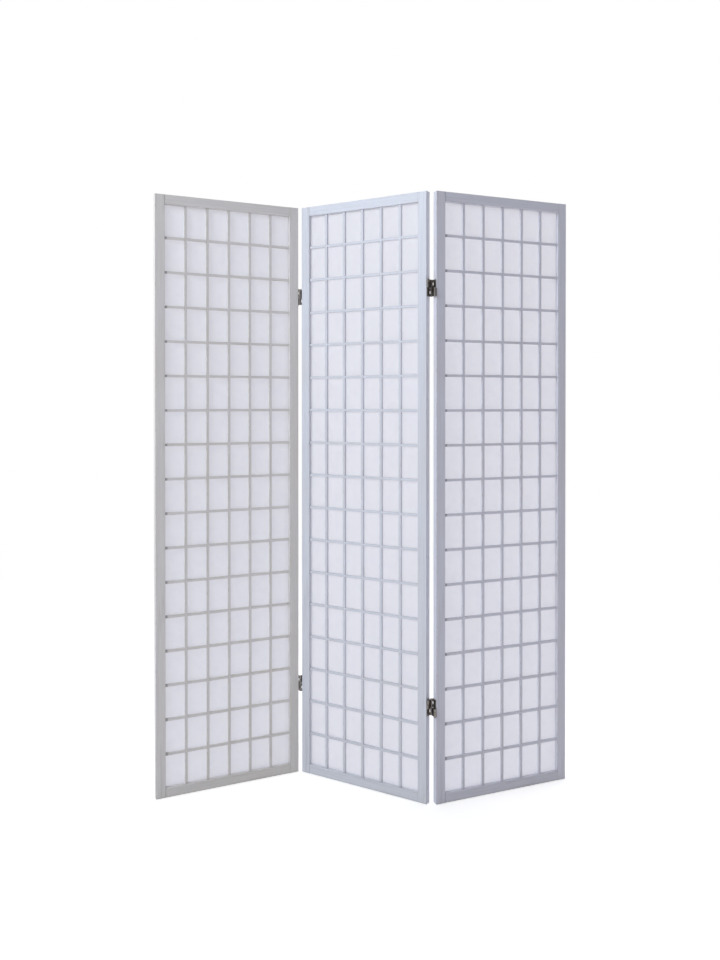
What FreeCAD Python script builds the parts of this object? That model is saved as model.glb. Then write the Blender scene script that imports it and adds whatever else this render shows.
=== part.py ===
import FreeCAD, Part
import math
import os
import Sketcher
from FreeCAD import Placement, Rotation, Vector

# Three-panel folding screen in white-painted wood: stiles and rails, a half-lapped lattice with
# paper behind it, and two double-action hinges at each joint.
#
# Every panel is modelled in its own frame: X along its width, Y from its front face to its back,
# Z up from the floor, with the origin at the front left bottom corner.  The whole screen's frame
# has the origin on the floor under the middle of its bounding box, X to the right, Y to the back.

doc = FreeCAD.newDocument("folding_screen")

# ---------------------------------------------------------------- driving dimensions (mm, degrees)

SIZES = {
    # panel
    "panel_width": 440,
    "panel_height": 1750,
    "panel_thickness": 20,
    "stile_width": 28,
    "rail_height": 28,
    "edge_radius": 0.8,
    # lattice
    "cell_columns": 6,
    "cell_rows": 17,
    "bar_width": 7,
    "bar_depth": 7,
    "bar_recess": 3,
    "tenon_length": 3,
    "mortise_clearance": 0.1,
    "lap_clearance": 0.1,
    # paper and the beads that hold it
    "rebate_width": 8,
    "paper_thickness": 0.5,
    "paper_margin": 1,
    "bead_thickness": 6,
    "brad_diameter": 1.2,
    "brad_length": 14,
    "brad_end_distance": 60,
    "side_brads": 6,
    "end_brads": 2,
    # dowels in the corner joints
    "dowel_diameter": 6,
    "dowel_length": 36,
    "dowel_first_height": 6,
    "dowel_spacing": 8,
    "dowel_end_clearance": 1,
    # hinges
    "hinge_gap": 11,
    "hinge_height": 48,
    "hinge_end_distance": 275,
    "axis_proud": 1,
    "leaf_width": 15,
    "leaf_thickness": 1.5,
    "leaf_corner_radius": 2,
    "knuckle_radius": 3.6,
    "knuckle_gap": 0.3,
    "half_gap": 0.5,
    "link_thickness": 1.5,
    "link_knuckle_clearance": 0.4,
    "pin_diameter": 3,
    "pin_clearance": 0.05,
    "pin_setback": 0.1,
    # wood screws
    "screw_diameter": 3,
    "screw_length": 16,
    "screw_tip_length": 4,
    "screw_head_diameter": 6,
    "screw_head_height": 1.4,
    "screw_stagger": 3,
    "screw_inner_height": 7,
    "screw_outer_height": 18,
    "screw_slot_width": 0.9,
    "screw_slot_length": 3.4,
    "screw_slot_depth": 0.9,
    # how far each joint stands folded
    "left_fold": 58,
    "right_fold": 55,
    "centre_heading": -32,
}

sheet = doc.addObject("Spreadsheet::Sheet", "Sizes")
for row, (alias, value) in enumerate(SIZES.items(), start=1):
    sheet.set(f"A{row}", alias)
    sheet.set(f"B{row}", str(value))
    sheet.setAlias(f"B{row}", alias)
doc.recompute()

size = {alias: float(sheet.get(alias)) for alias in SIZES}


def expand(text):
    """Put the sheet's name before every size that an expression names."""
    words = text.replace("(", " ( ").replace(")", " ) ").split()
    return " ".join(f"Sizes.{word}" if word in SIZES else word for word in words)


# Lengths that follow from the driving ones, as expressions of the sheet.
OPENING_WIDTH = "( panel_width - 2 * stile_width )"
OPENING_HEIGHT = "( panel_height - 2 * rail_height )"
COLUMN_CELL = f"( ( {OPENING_WIDTH} - ( cell_columns - 1 ) * bar_width ) / cell_columns )"
ROW_CELL = f"( ( {OPENING_HEIGHT} - ( cell_rows - 1 ) * bar_width ) / cell_rows )"
COLUMN_PITCH = f"( {COLUMN_CELL} + bar_width )"
ROW_PITCH = f"( {ROW_CELL} + bar_width )"
BAR_BACK = "( bar_recess + bar_depth )"
REBATE_DEPTH = f"( panel_thickness - {BAR_BACK} )"
PAPER_BACK = f"( {BAR_BACK} + paper_thickness )"
REBATE_LEFT = "( stile_width - rebate_width )"
REBATE_BOTTOM = "( rail_height - rebate_width )"
REBATE_WIDTH_ACROSS = f"( {OPENING_WIDTH} + 2 * rebate_width )"
REBATE_HEIGHT = f"( {OPENING_HEIGHT} + 2 * rebate_width )"
BRAD_DEPTH = f"( {PAPER_BACK} + bead_thickness / 2 )"
SIDE_BRAD_PITCH = f"( ( {REBATE_HEIGHT} - 2 * brad_end_distance ) / ( side_brads - 1 ) )"
END_BRAD_PITCH = f"( ( {OPENING_WIDTH} - 2 * brad_end_distance ) / ( end_brads - 1 ) )"
MID_DEPTH = "( panel_thickness / 2 )"

# ---------------------------------------------------------------- modelling helpers

AXIS_Z = Vector(0, 0, 1)
TURNED = Rotation(AXIS_Z, 180)
parts = []


def bind(thing, name, text):
    """Set a property from the sheet."""
    thing.setExpression(name, expand(text))


def origin_feature(body, role):
    """One of the body's own origin planes or axes."""
    for feature in body.Origin.OriginFeatures:
        if feature.Role == role:
            return feature
    raise ValueError(role)


def new_body(label):
    body = doc.addObject("PartDesign::Body", label)
    body.AllowCompound = True
    return body


def new_sketch(body, name, plane, offset="0"):
    """A sketch on one of the body's origin planes, moved along the plane's normal."""
    sketch = body.newObject("Sketcher::SketchObject", f"{body.Name}_{name}")
    sketch.AttachmentSupport = [(origin_feature(body, plane), "")]
    sketch.MapMode = "FlatFace"
    bind(sketch, "AttachmentOffset.Base.z", offset)
    return sketch


def dimension(sketch, kind, start, end, text):
    """A length in the sketch, named after its place in the list and set from the sheet."""
    number = sketch.addConstraint(Sketcher.Constraint(kind, *start, *end, 1.0))
    name = f"{kind}_{number}"
    sketch.renameConstraint(number, name)
    bind(sketch, f"Constraints.{name}", text)


def rectangle(sketch, left, bottom, width, height):
    """A rectangle at a corner given from the sketch's origin."""
    first = sketch.GeometryCount
    corners = [Vector(0, 0, 0), Vector(1, 0, 0), Vector(1, 1, 0), Vector(0, 1, 0)]
    for start, end in zip(corners, corners[1:] + corners[:1]):
        sketch.addGeometry(Part.LineSegment(start, end), False)
    for side in range(4):
        after = first + (side + 1) % 4
        sketch.addConstraint(Sketcher.Constraint("Coincident", first + side, 2, after, 1))
        direction = "Horizontal" if side % 2 == 0 else "Vertical"
        sketch.addConstraint(Sketcher.Constraint(direction, first + side))
    dimension(sketch, "DistanceX", (-1, 1), (first, 1), left)
    dimension(sketch, "DistanceY", (-1, 1), (first, 1), bottom)
    dimension(sketch, "DistanceX", (first, 1), (first, 2), width)
    dimension(sketch, "DistanceY", (first + 1, 1), (first + 1, 2), height)


def circle(sketch, across, up, diameter):
    """A circle with its centre given from the sketch's origin."""
    number = sketch.addGeometry(Part.Circle(Vector(0, 0, 0), AXIS_Z, 1), False)
    dimension(sketch, "DistanceX", (-1, 1), (number, 3), across)
    dimension(sketch, "DistanceY", (-1, 1), (number, 3), up)
    constraint = sketch.addConstraint(Sketcher.Constraint("Diameter", number, 2.0))
    sketch.renameConstraint(constraint, f"Diameter_{constraint}")
    bind(sketch, f"Constraints.Diameter_{constraint}", diameter)


def pad(body, sketch, length):
    """Raise a sketch along its normal."""
    doc.recompute()
    feature = body.newObject("PartDesign::Pad", f"{sketch.Name}_pad")
    feature.Profile = sketch
    bind(feature, "Length", length)
    doc.recompute()
    return feature


def pocket(body, sketch, length, along_normal=False):
    """Cut a sketch into the body, and make sure that it takes something away."""
    doc.recompute()
    before = body.Shape.Volume
    feature = body.newObject("PartDesign::Pocket", f"{sketch.Name}_pocket")
    feature.Profile = sketch
    feature.Reversed = along_normal
    bind(feature, "Length", length)
    doc.recompute()
    if body.Shape.Volume > before - 1e-3:
        raise ValueError(f"{feature.Name} cuts nothing")
    return feature


def pattern(body, feature, axis, pitch, count):
    """Repeat a pad or pocket along one of the body's axes."""
    repeated = body.newObject("PartDesign::LinearPattern", f"{feature.Name}_pattern")
    repeated.Originals = [feature]
    repeated.Direction = (origin_feature(body, axis), [""])
    bind(repeated, "Length", f"{pitch} * ( {count} - 1 )")
    bind(repeated, "Occurrences", count)
    body.Tip = repeated
    doc.recompute()
    return repeated


def ease_edges(body, direction, length, keep):
    """Round the body's long straight edges that the keep test picks by their middle."""
    names = []
    for number, edge in enumerate(body.Shape.Edges, start=1):
        straight = edge.Curve.TypeId == "Part::GeomLine"
        if not straight or abs(edge.Length - length) > 1e-6:
            continue
        along = (edge.Vertexes[-1].Point - edge.Vertexes[0].Point).normalize()
        if abs(along.dot(direction)) > 0.999 and keep(edge.CenterOfMass):
            names.append(f"Edge{number}")
    if not names:
        raise ValueError(f"{body.Name} has no edges to ease")
    squared = body.Tip
    fillet = body.newObject("PartDesign::Fillet", f"{body.Name}_eased")
    fillet.Base = (squared, names)
    bind(fillet, "Radius", "edge_radius")
    body.Tip = fillet
    doc.recompute()


def box(name, corner, extents):
    """A block from its lowest corner and its three sizes."""
    block = doc.addObject("Part::Box", name)
    for side, text in zip(("Length", "Width", "Height"), extents):
        bind(block, side, text)
    for side, text in zip("xyz", corner):
        bind(block, f"Placement.Base.{side}", text)
    return block


DIRECTIONS = {
    "x": Rotation(Vector(0, 1, 0), 90),
    "y": Rotation(Vector(1, 0, 0), -90),
    "z": Rotation(),
}


def cylinder(name, base, diameter, length, direction="z"):
    """A round bar from the middle of its first end."""
    bar = doc.addObject("Part::Cylinder", name)
    bar.Placement = Placement(Vector(), DIRECTIONS[direction])
    bind(bar, "Radius", f"( {diameter} ) / 2")
    bind(bar, "Height", length)
    for side, text in zip("xyz", base):
        bind(bar, f"Placement.Base.{side}", text)
    return bar


def cone(name, base, first_diameter, last_diameter, length, direction="x"):
    """A cone along one axis from the middle of its first end."""
    taper = doc.addObject("Part::Cone", name)
    taper.Placement = Placement(Vector(), DIRECTIONS[direction])
    bind(taper, "Radius1", f"( {first_diameter} ) / 2")
    bind(taper, "Radius2", f"( {last_diameter} ) / 2")
    bind(taper, "Height", length)
    for side, text in zip("xyz", base):
        bind(taper, f"Placement.Base.{side}", text)
    return taper


def fuse(name, shapes):
    joined = doc.addObject("Part::MultiFuse", name)
    joined.Shapes = shapes
    return joined


def cut(name, base, tool):
    result = doc.addObject("Part::Cut", name)
    result.Base = base
    result.Tool = tool
    return result


def group(name, members):
    """Several separate solids that make one node."""
    compound = doc.addObject("Part::Compound", name)
    compound.Links = members
    return compound


def finish(thing, label, placement):
    """Name a sub-part, put it in its place and add it to the list that is written."""
    doc.recompute()
    thing.Label = label
    thing.Placement = placement
    parts.append(thing)


# ---------------------------------------------------------------- where the panels and axes stand

def turn(heading):
    return Rotation(AXIS_Z, heading)


def panel_positions():
    """The three panels' placements, with the origin under the middle of the bounding box."""
    half_gap = size["hinge_gap"] / 2
    width = size["panel_width"]
    rear = size["panel_thickness"] + size["axis_proud"]
    front = -size["axis_proud"]
    centre_heading = size["centre_heading"]
    centre = Placement(Vector(), turn(centre_heading))

    left_heading = centre_heading + size["left_fold"]
    left_axis = centre.multVec(Vector(-half_gap, front, 0))
    left_corner = left_axis - turn(left_heading).multVec(Vector(width + half_gap, front, 0))

    right_heading = centre_heading + size["right_fold"]
    right_axis = centre.multVec(Vector(width + half_gap, rear, 0))
    right_corner = right_axis - turn(right_heading).multVec(Vector(-half_gap, rear, 0))

    placed = {
        "left": Placement(left_corner, turn(left_heading)),
        "centre": centre,
        "right": Placement(right_corner, turn(right_heading)),
    }

    # The box is set by the panels' corners and by the hinge knuckles.
    across = []
    back = []
    for place in placed.values():
        for x in (0, width):
            for y in (0, size["panel_thickness"]):
                corner = place.multVec(Vector(x, y, 0))
                across.append(corner.x)
                back.append(corner.y)
    knuckle = size["knuckle_radius"]
    for name, ends in (("left", [width + half_gap]),
                       ("centre", [-half_gap, width + half_gap]),
                       ("right", [-half_gap])):
        for x in ends:
            for y in (front, rear):
                axis_point = placed[name].multVec(Vector(x, y, 0))
                across += [axis_point.x - knuckle, axis_point.x + knuckle]
                back += [axis_point.y - knuckle, axis_point.y + knuckle]
    middle = Vector((min(across) + max(across)) / 2, (min(back) + max(back)) / 2, 0)
    return {name: Placement(place.Base - middle, place.Rotation) for name, place in placed.items()}


PANELS = panel_positions()
HINGE_HEIGHTS = {
    "top": size["panel_height"] - size["hinge_end_distance"],
    "bottom": size["hinge_end_distance"],
}
# A hinge leaf's four screws: depth from the panel's front face, and height from the hinge's middle.
SCREW_PLACES = [
    (f"{MID_DEPTH} - screw_stagger", "screw_outer_height"),
    (f"{MID_DEPTH} + screw_stagger", "screw_inner_height"),
    (f"{MID_DEPTH} - screw_stagger", "- screw_inner_height"),
    (f"{MID_DEPTH} + screw_stagger", "- screw_outer_height"),
]

# ---------------------------------------------------------------- the frame of a panel

def make_stile(name, placement, hinged):
    """An upright, drawn as the left one; the right one is the same piece turned over."""
    body = new_body(name)
    outline = new_sketch(body, "section", "XY_Plane")
    rectangle(outline, "0", "0", "stile_width", "panel_thickness")
    pad(body, outline, "panel_height")
    inner_edge = size["stile_width"]
    ease_edges(body, AXIS_Z, size["panel_height"],
               lambda middle: middle.x < 1 or (middle.x > inner_edge - 1 and middle.y < 1))

    rebate = new_sketch(body, "rebate", "YZ_Plane", "stile_width")
    rectangle(rebate, BAR_BACK, REBATE_BOTTOM, REBATE_DEPTH, REBATE_HEIGHT)
    pocket(body, rebate, "rebate_width")

    mortise = new_sketch(body, "mortise", "YZ_Plane", "stile_width")
    rectangle(mortise, "bar_recess - mortise_clearance",
              f"rail_height + {ROW_CELL} - mortise_clearance",
              "bar_depth + mortise_clearance", "bar_width + 2 * mortise_clearance")
    first = pocket(body, mortise, "tenon_length")
    pattern(body, first, "Z_Axis", ROW_PITCH, "( cell_rows - 1 )")

    dowels = new_sketch(body, "dowel_holes", "YZ_Plane", "stile_width")
    for step in range(2):
        up = f"dowel_first_height + {step} * dowel_spacing"
        circle(dowels, MID_DEPTH, up, "dowel_diameter")
        circle(dowels, MID_DEPTH, f"panel_height - ( {up} )", "dowel_diameter")
    pocket(body, dowels, "dowel_length / 2 + dowel_end_clearance")

    brad = new_sketch(body, "brad_hole", "YZ_Plane", REBATE_LEFT)
    circle(brad, BRAD_DEPTH, f"{REBATE_BOTTOM} + brad_end_distance", "brad_diameter")
    first = pocket(body, brad, "brad_length - rebate_width")
    pattern(body, first, "Z_Axis", SIDE_BRAD_PITCH, "side_brads")

    if hinged:
        # The outer face of a left stile takes the leaf turned about, front to back.
        holes = new_sketch(body, "screw_holes", "YZ_Plane", "0")
        for middle in ("hinge_end_distance", "panel_height - hinge_end_distance"):
            for depth, up in SCREW_PLACES:
                circle(holes, f"panel_thickness - ( {depth} )", f"{middle} + {up}",
                       "screw_diameter")
        pocket(body, holes, "screw_length - leaf_thickness", along_normal=True)
    finish(body, name, placement)


def make_rail(name, placement):
    """A rail between the stiles, drawn as the bottom one; the top one is turned over."""
    body = new_body(name)
    outline = new_sketch(body, "section", "YZ_Plane", "stile_width")
    rectangle(outline, "0", "0", "panel_thickness", "rail_height")
    pad(body, outline, OPENING_WIDTH)
    opening = size["panel_width"] - 2 * size["stile_width"]
    inner_edge = size["rail_height"]
    ease_edges(body, Vector(1, 0, 0), opening,
               lambda middle: middle.z < 1 or (middle.z > inner_edge - 1 and middle.y < 1))

    rebate = new_sketch(body, "rebate", "YZ_Plane", "stile_width")
    rectangle(rebate, BAR_BACK, REBATE_BOTTOM, REBATE_DEPTH, "rebate_width")
    pocket(body, rebate, OPENING_WIDTH, along_normal=True)

    mortise = new_sketch(body, "mortise", "XY_Plane", "rail_height")
    rectangle(mortise, f"stile_width + {COLUMN_CELL} - mortise_clearance",
              "bar_recess - mortise_clearance",
              "bar_width + 2 * mortise_clearance", "bar_depth + mortise_clearance")
    first = pocket(body, mortise, "tenon_length")
    pattern(body, first, "X_Axis", COLUMN_PITCH, "( cell_columns - 1 )")

    for end, offset, inwards in (("left", "stile_width", True),
                                 ("right", "panel_width - stile_width", False)):
        dowels = new_sketch(body, f"dowel_holes_{end}", "YZ_Plane", offset)
        for step in range(2):
            up = f"dowel_first_height + {step} * dowel_spacing"
            circle(dowels, MID_DEPTH, up, "dowel_diameter")
        pocket(body, dowels, "dowel_length / 2 + dowel_end_clearance", along_normal=inwards)

    brad = new_sketch(body, "brad_hole", "XY_Plane", REBATE_BOTTOM)
    circle(brad, "stile_width + brad_end_distance", BRAD_DEPTH, "brad_diameter")
    first = pocket(body, brad, "brad_length - rebate_width")
    pattern(body, first, "X_Axis", END_BRAD_PITCH, "end_brads")
    finish(body, name, placement)


# ---------------------------------------------------------------- the lattice, paper and beads

def make_vertical_bars(name, placement):
    """The uprights of the lattice, notched at the back for the horizontal bars."""
    body = new_body(name)
    outline = new_sketch(body, "section", "XY_Plane", "rail_height - tenon_length")
    rectangle(outline, f"stile_width + {COLUMN_CELL}", "bar_recess", "bar_width", "bar_depth")
    first = pad(body, outline, f"{OPENING_HEIGHT} + 2 * tenon_length")
    pattern(body, first, "X_Axis", COLUMN_PITCH, "( cell_columns - 1 )")

    notch = new_sketch(body, "notch", "YZ_Plane", "stile_width")
    rectangle(notch, "bar_recess + bar_depth / 2",
              f"rail_height + {ROW_CELL} - lap_clearance",
              "bar_depth", "bar_width + 2 * lap_clearance")
    first = pocket(body, notch, OPENING_WIDTH, along_normal=True)
    pattern(body, first, "Z_Axis", ROW_PITCH, "( cell_rows - 1 )")
    finish(body, name, placement)


def make_horizontal_bars(name, placement):
    """The cross bars of the lattice, notched at the front for the uprights."""
    body = new_body(name)
    outline = new_sketch(body, "section", "YZ_Plane", "stile_width - tenon_length")
    rectangle(outline, "bar_recess", f"rail_height + {ROW_CELL}", "bar_depth", "bar_width")
    first = pad(body, outline, f"{OPENING_WIDTH} + 2 * tenon_length")
    pattern(body, first, "Z_Axis", ROW_PITCH, "( cell_rows - 1 )")

    notch = new_sketch(body, "notch", "XY_Plane", "rail_height")
    rectangle(notch, f"stile_width + {COLUMN_CELL} - lap_clearance",
              "bar_recess - bar_depth / 2",
              "bar_width + 2 * lap_clearance", "bar_depth")
    first = pocket(body, notch, OPENING_HEIGHT, along_normal=True)
    pattern(body, first, "X_Axis", COLUMN_PITCH, "( cell_columns - 1 )")
    finish(body, name, placement)


def make_paper(name, placement):
    """The paper, from one side of the rebate to the other, against the back of the lattice."""
    body = new_body(name)
    outline = new_sketch(body, "outline", "XZ_Plane", f"- {PAPER_BACK}")
    rectangle(outline, f"{REBATE_LEFT} + paper_margin", f"{REBATE_BOTTOM} + paper_margin",
              f"{REBATE_WIDTH_ACROSS} - 2 * paper_margin", f"{REBATE_HEIGHT} - 2 * paper_margin")
    pad(body, outline, "paper_thickness")
    finish(body, name, placement)


def make_side_beads(name, placement):
    """The two long beads, full height of the rebate, drilled for the brads."""
    body = new_body(name)
    outline = new_sketch(body, "section", "XY_Plane", REBATE_BOTTOM)
    rectangle(outline, REBATE_LEFT, PAPER_BACK, "rebate_width", "bead_thickness")
    first = pad(body, outline, REBATE_HEIGHT)
    pattern(body, first, "X_Axis", f"( {OPENING_WIDTH} + rebate_width )", "2")

    holes = new_sketch(body, "brad_hole", "YZ_Plane", REBATE_LEFT)
    circle(holes, BRAD_DEPTH, f"{REBATE_BOTTOM} + brad_end_distance", "brad_diameter")
    first = pocket(body, holes, REBATE_WIDTH_ACROSS, along_normal=True)
    pattern(body, first, "Z_Axis", SIDE_BRAD_PITCH, "side_brads")
    finish(body, name, placement)


def make_end_beads(name, placement):
    """The two short beads, between the long ones."""
    body = new_body(name)
    outline = new_sketch(body, "section", "YZ_Plane", "stile_width")
    rectangle(outline, PAPER_BACK, REBATE_BOTTOM, "bead_thickness", "rebate_width")
    first = pad(body, outline, OPENING_WIDTH)
    pattern(body, first, "Z_Axis", f"( {OPENING_HEIGHT} + rebate_width )", "2")

    holes = new_sketch(body, "brad_hole", "XY_Plane", REBATE_BOTTOM)
    circle(holes, "stile_width + brad_end_distance", BRAD_DEPTH, "brad_diameter")
    first = pocket(body, holes, REBATE_HEIGHT, along_normal=True)
    pattern(body, first, "X_Axis", END_BRAD_PITCH, "end_brads")
    finish(body, name, placement)


def make_brads(name, placement):
    """Headless brads, driven through the beads into the frame on all four sides."""
    brads = []
    for number in range(int(size["side_brads"])):
        up = f"{REBATE_BOTTOM} + brad_end_distance + {number} * {SIDE_BRAD_PITCH}"
        for side, start in (("left", "stile_width - brad_length"),
                            ("right", "panel_width - stile_width")):
            brads.append(cylinder(f"{name}_{side}_{number}", (start, BRAD_DEPTH, up),
                                  "brad_diameter", "brad_length", "x"))
    for number in range(int(size["end_brads"])):
        across = f"stile_width + brad_end_distance + {number} * {END_BRAD_PITCH}"
        for end, start in (("bottom", "rail_height - brad_length"),
                           ("top", "panel_height - rail_height")):
            brads.append(cylinder(f"{name}_{end}_{number}", (across, BRAD_DEPTH, start),
                                  "brad_diameter", "brad_length", "z"))
    finish(group(name, brads), name, placement)


def make_dowels(name, placement):
    """Two dowels at each of the four corner joints, half in the stile and half in the rail."""
    dowels = []
    for side, seam in (("left", "stile_width"), ("right", "panel_width - stile_width")):
        for step in range(2):
            up = f"( dowel_first_height + {step} * dowel_spacing )"
            for end, height in (("bottom", up), ("top", f"panel_height - {up}")):
                dowels.append(cylinder(f"{name}_{side}_{end}_{step}",
                                       (f"{seam} - dowel_length / 2", MID_DEPTH, height),
                                       "dowel_diameter", "dowel_length", "x"))
    finish(group(name, dowels), name, placement)


def make_panel(side, left_hinged, right_hinged):
    """All of one panel's pieces."""
    place = PANELS[side]
    corner = Vector(size["panel_width"], 0, size["panel_height"])
    turned_over = place * Placement(corner, Rotation(Vector(0, 1, 0), 180))
    make_stile(f"{side}_panel_left_stile", place, left_hinged)
    make_stile(f"{side}_panel_right_stile", turned_over, right_hinged)
    make_rail(f"{side}_panel_bottom_rail", place)
    make_rail(f"{side}_panel_top_rail", turned_over)
    make_vertical_bars(f"{side}_panel_vertical_bars", place)
    make_horizontal_bars(f"{side}_panel_horizontal_bars", place)
    make_paper(f"{side}_panel_paper", place)
    make_side_beads(f"{side}_panel_side_beads", place)
    make_end_beads(f"{side}_panel_end_beads", place)
    make_brads(f"{side}_panel_brads", place)
    make_dowels(f"{side}_panel_dowels", place)


# ---------------------------------------------------------------- the hinges
#
# A leaf is drawn on a panel's right end face: X away from the face, Y from the panel's front face,
# Z from the hinge's middle.  Turned half round the upright axis it fits a left end face.  In the
# upper half its knuckles stand at the front, in the lower half at the back.  The upper link joins
# the front knuckle of the leaf on the left to the rear knuckle of the leaf on the right, and the
# lower link is the same piece upside down, so the two cross.

AXIS_OUT = "( hinge_gap / 2 )"
FRONT_AXIS = "( - axis_proud )"
REAR_AXIS = "( panel_thickness + axis_proud )"
HALF_HEIGHT = "( ( hinge_height - half_gap ) / 2 )"
KNUCKLE_HEIGHT = f"( ( {HALF_HEIGHT} - 2 * knuckle_gap ) / 3 )"
KNUCKLE_PITCH = f"( {KNUCKLE_HEIGHT} + knuckle_gap )"
AXIS_SPACING = "( panel_thickness + 2 * axis_proud )"
BORE = "( pin_diameter + 2 * pin_clearance )"


def half_bottom(upper):
    """The lowest height of the upper or lower half of a hinge."""
    return "half_gap / 2" if upper else "( - hinge_height / 2 )"


def make_leaf(name, placement):
    """A leaf: the plate, four lugs with knuckles, their bores and four countersunk holes."""
    plate_edge = "( ( panel_thickness - leaf_width ) / 2 )"
    plate = box(f"{name}_plate", ("0", plate_edge, "- hinge_height / 2"),
                ("leaf_thickness", "leaf_width", "hinge_height"))
    doc.recompute()
    corners = doc.addObject("Part::Fillet", f"{name}_rounded_plate")
    corners.Base = plate
    radius = size["leaf_corner_radius"]
    corners.Edges = [(number, radius, radius)
                     for number, edge in enumerate(plate.Shape.Edges, start=1)
                     if abs(edge.Length - size["leaf_thickness"]) < 1e-6]
    solids = [corners]
    bores = []
    for upper in (True, False):
        half = "upper" if upper else "lower"
        axis_depth = FRONT_AXIS if upper else REAR_AXIS
        neck_depth = FRONT_AXIS if upper else f"( {REAR_AXIS} - knuckle_radius )"
        foot_depth = FRONT_AXIS if upper else MID_DEPTH
        for number in (0, 2):
            bottom = f"{half_bottom(upper)} + {number} * {KNUCKLE_PITCH}"
            # a foot carries the neck across the end face to the plate
            solids.append(box(f"{name}_{half}_foot_{number}", ("0", foot_depth, bottom),
                              ("leaf_thickness", f"( {MID_DEPTH} + axis_proud )",
                               KNUCKLE_HEIGHT)))
            solids.append(cylinder(f"{name}_{half}_knuckle_{number}",
                                   (AXIS_OUT, axis_depth, bottom),
                                   "2 * knuckle_radius", KNUCKLE_HEIGHT))
            solids.append(box(f"{name}_{half}_neck_{number}", ("0", neck_depth, bottom),
                              (AXIS_OUT, "knuckle_radius", KNUCKLE_HEIGHT)))
        bores.append(cylinder(f"{name}_{half}_bore", (AXIS_OUT, axis_depth, half_bottom(upper)),
                              BORE, HALF_HEIGHT))
    holes = []
    for number, (depth, up) in enumerate(SCREW_PLACES):
        holes.append(cylinder(f"{name}_hole_{number}", ("0", depth, up),
                              "screw_diameter", "leaf_thickness", "x"))
        holes.append(cone(f"{name}_sink_{number}",
                          ("leaf_thickness - screw_head_height", depth, up),
                          "screw_diameter", "screw_head_diameter", "screw_head_height"))
    blank = fuse(f"{name}_blank", solids)
    tools = fuse(f"{name}_tools", bores + holes)
    finish(cut(name, blank, tools), name, placement)


def make_link(name, placement):
    """A link, drawn as the upper one: two knuckles and the plate between them, in its own frame.

    X is away from the left panel's end face, Y from its front face and Z from the hinge's middle.
    """
    middle_bottom = f"( half_gap / 2 + {KNUCKLE_PITCH} )"
    clear = "( knuckle_radius + link_knuckle_clearance )"
    plate_left = f"( {AXIS_OUT} - link_thickness / 2 )"
    knuckles = []
    bores = []
    for end, depth in (("front", FRONT_AXIS), ("rear", REAR_AXIS)):
        knuckles.append(cylinder(f"{name}_{end}_knuckle", (AXIS_OUT, depth, middle_bottom),
                                 "2 * knuckle_radius", KNUCKLE_HEIGHT))
        bores.append(cylinder(f"{name}_{end}_bore", (AXIS_OUT, depth, middle_bottom),
                              "pin_diameter", KNUCKLE_HEIGHT))
    web = box(f"{name}_web", (plate_left, FRONT_AXIS, middle_bottom),
              ("link_thickness", AXIS_SPACING, KNUCKLE_HEIGHT))
    plate = box(f"{name}_plate", (plate_left, f"{FRONT_AXIS} + {clear}", "half_gap / 2"),
                ("link_thickness", f"{AXIS_SPACING} - 2 * {clear}", HALF_HEIGHT))
    blank = fuse(f"{name}_blank", knuckles + [web, plate])
    tools = fuse(f"{name}_tools", bores)
    finish(cut(name, blank, tools), name, placement)


def pin(name, depth, height_range):
    """A hinge pin on the front or rear axis, from one height to another."""
    bottom, length = height_range
    return cylinder(name, (AXIS_OUT, depth, bottom), "pin_diameter", length)


WHOLE_HALF = ("half_gap / 2 + pin_setback", f"{HALF_HEIGHT} - 2 * pin_setback")
LINK_KNUCKLE = (f"half_gap / 2 + {KNUCKLE_PITCH}", KNUCKLE_HEIGHT)
LOW_LEAF_KNUCKLE = ("half_gap / 2 + pin_setback", f"{KNUCKLE_HEIGHT} - pin_setback")
HIGH_LEAF_KNUCKLE = (f"half_gap / 2 + 2 * {KNUCKLE_PITCH}", f"{KNUCKLE_HEIGHT} - pin_setback")


def make_screw_master():
    """One countersunk wood screw along X, head outwards, with its point in the wood."""
    shank = "( screw_length - screw_head_height - screw_tip_length )"
    sunk = "( leaf_thickness - screw_head_height )"
    body = fuse("screw_blank", [
        cone("screw_head", (sunk, "0", "0"),
             "screw_diameter", "screw_head_diameter", "screw_head_height"),
        cylinder("screw_shank", (f"{sunk} - {shank}", "0", "0"), "screw_diameter", shank, "x"),
        cone("screw_point", (f"{sunk} - {shank} - screw_tip_length", "0", "0"),
             "0.2", "screw_diameter", "screw_tip_length"),
    ])
    slots = fuse("screw_cross", [
        box("screw_slot_up", ("leaf_thickness - screw_slot_depth", "- screw_slot_width / 2",
                              "- screw_slot_length / 2"),
            ("screw_slot_depth", "screw_slot_width", "screw_slot_length")),
        box("screw_slot_across", ("leaf_thickness - screw_slot_depth",
                                  "- screw_slot_length / 2", "- screw_slot_width / 2"),
            ("screw_slot_depth", "screw_slot_length", "screw_slot_width")),
    ])
    return cut("screw", body, slots)


def copies(name, master, places):
    """Links to one modelled piece, each at its own place."""
    linked = []
    for number, place in enumerate(places):
        link = doc.addObject("App::Link", f"{name}_{number}")
        link.LinkedObject = master
        link.Placement = place
        linked.append(link)
    return group(name, linked)


def value(text):
    """The number that an expression of the sheet gives now."""
    result = sheet.evalExpression(expand(text))
    return float(getattr(result, "Value", result))


SCREW_TURNS = (20, 65, 110, 150)


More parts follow.
